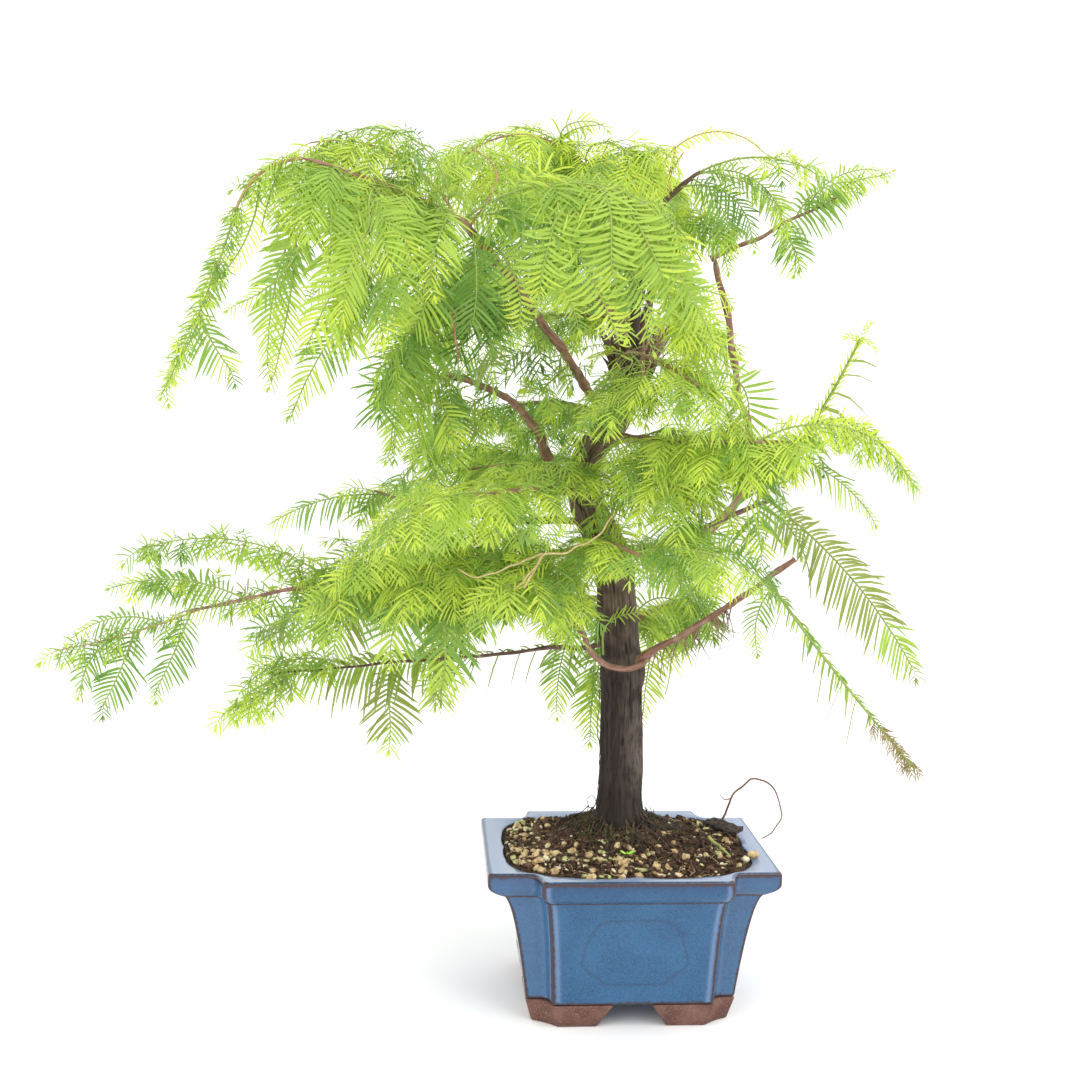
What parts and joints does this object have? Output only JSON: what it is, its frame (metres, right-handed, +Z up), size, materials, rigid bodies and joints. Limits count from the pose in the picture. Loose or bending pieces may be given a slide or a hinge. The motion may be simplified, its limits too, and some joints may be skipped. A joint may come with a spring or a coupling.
{
  "type": "dawn redwood bonsai",
  "caption": "Small dawn redwood trained as a bonsai, with layered drooping feathery sprays, in a glazed rectangular pot with stepped corners on unglazed feet.",
  "frame": {"origin": "on the ground under the middle of the bounding box of tree and pot; the pot's middle is to the right of it, at about X 74 mm and Y -12 mm", "axes": "+Z up from the underside of the feet, -Y out of the front of the pot, +X to the right along the pot's long side"},
  "size_m": [0.5438, 0.3502, 0.5487],
  "materials": {
    "glaze": "glossy blue glaze, breaking to brown along the edges",
    "clay": "unglazed matt red-brown",
    "soil": "crumbly, matt",
    "bark": "rough fluted bark",
    "twig_bark": "thin flaking bark",
    "needles": "soft satin green"
  },
  "bodies": {
    "root": {"pot": "glaze", "foot_front_left": "clay", "foot_front_right": "clay", "foot_back_left": "clay", "foot_back_right": "clay", "soil": "soil", "trunk": "bark", "dead_stub": "bark", "bough_low_right": "twig_bark", "bough_low_front": "twig_bark", "bough_low_left": "twig_bark", "bough_left_long": "twig_bark", "bough_left_high": "twig_bark", "bough_mid_left": "twig_bark", "bough_upper_left": "twig_bark", "bough_mid_back": "twig_bark", "bough_right_out": "twig_bark", "bough_right_riser": "twig_bark", "bough_right_crown": "twig_bark", "bough_top_right": "twig_bark", "bough_leader": "twig_bark", "bough_front_mid": "twig_bark", "bough_front_right": "twig_bark", "bough_back_mid": "twig_bark", "bough_back_right": "twig_bark", "bough_back_high": "twig_bark", "foliage_top_left_arch": "needles", "foliage_top_left_drape": "needles", "foliage_canopy_crest": "needles", "foliage_canopy_front": "needles", "foliage_canopy_left": "needles", "foliage_canopy_inner": "needles", "foliage_front_arch": "needles", "foliage_front_hang": "needles", "foliage_front_hang_right": "needles", "foliage_top_centre": "needles", "foliage_top_inner": "needles", "foliage_top_right": "needles", "foliage_top_right_arch": "needles", "foliage_right_crown": "needles", "foliage_front_bright": "needles", "foliage_front_right": "needles", "foliage_right_tier": "needles", "foliage_right_spray": "needles", "foliage_right_lean": "needles", "foliage_low_right_front": "needles", "foliage_low_front": "needles", "foliage_front_left": "needles", "foliage_inner_left": "needles", "foliage_left_high": "needles", "foliage_left_main": "needles", "foliage_left_tip": "needles", "foliage_low_left": "needles", "foliage_back_low_right": "needles", "foliage_back_low_left": "needles", "foliage_back_mid": "needles", "foliage_mid_back": "needles", "foliage_back_right": "needles", "foliage_back_high": "needles", "foliage_top_back": "needles"}
  },
  "joints": []
}
